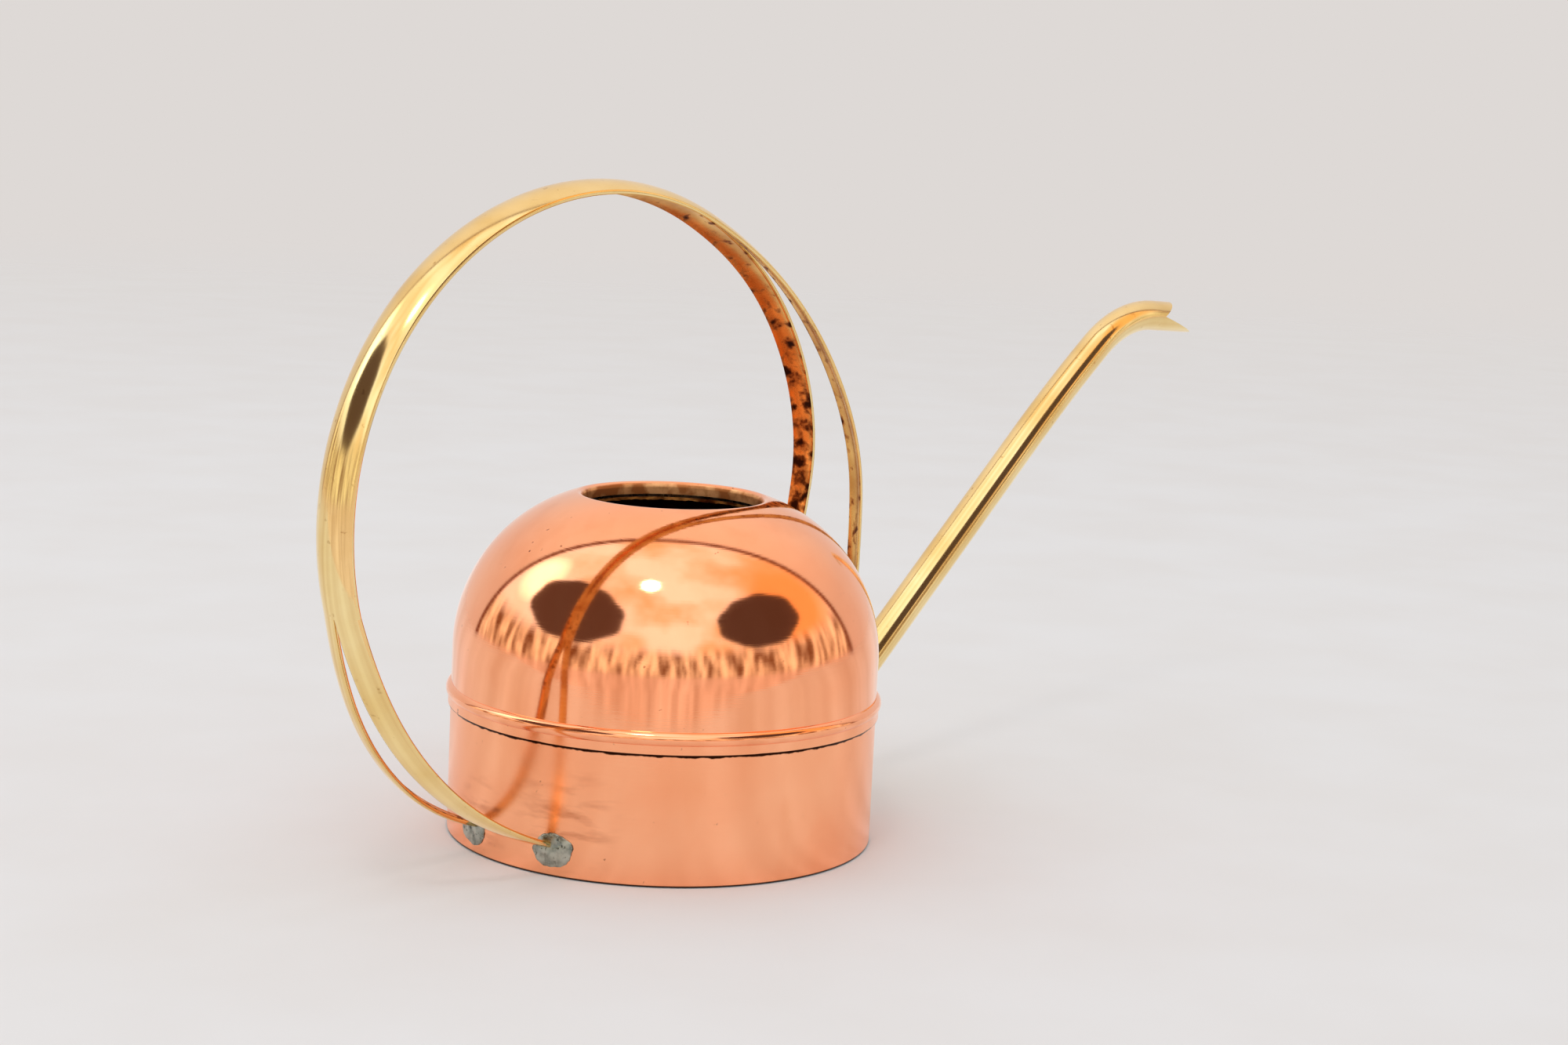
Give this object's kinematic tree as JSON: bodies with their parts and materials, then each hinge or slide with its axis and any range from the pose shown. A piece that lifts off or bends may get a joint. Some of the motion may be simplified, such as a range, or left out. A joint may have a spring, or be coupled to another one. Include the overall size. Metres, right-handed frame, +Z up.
{
  "type": "watering can",
  "caption": "Small indoor watering can: domed copper body with a filler opening, split brass hoop handle and long bent brass spout.",
  "frame": {"origin": "centre of the base, on the surface the can stands on", "axes": "+X towards the spout's lip, +Z up, +Y to the left when looking along the spout"},
  "size_m": [0.4829, 0.1534, 0.2297],
  "materials": {
    "copper": "polished copper sheet, lightly brushed and lacquered",
    "brass": "polished brass, stained brown inside the handle",
    "solder": "dull grey soft solder, lumpy"
  },
  "bodies": {
    "root": {"lower_shell": "copper", "base_plate": "copper", "dome_shell": "copper", "filler_collar": "copper", "handle": "brass", "spout": "brass", "base_solder": "solder", "lap_solder": "solder", "collar_solder": "solder", "spout_solder": "solder", "front_left_solder": "solder", "front_right_solder": "solder", "rear_left_solder": "solder", "rear_right_solder": "solder"}
  },
  "joints": []
}
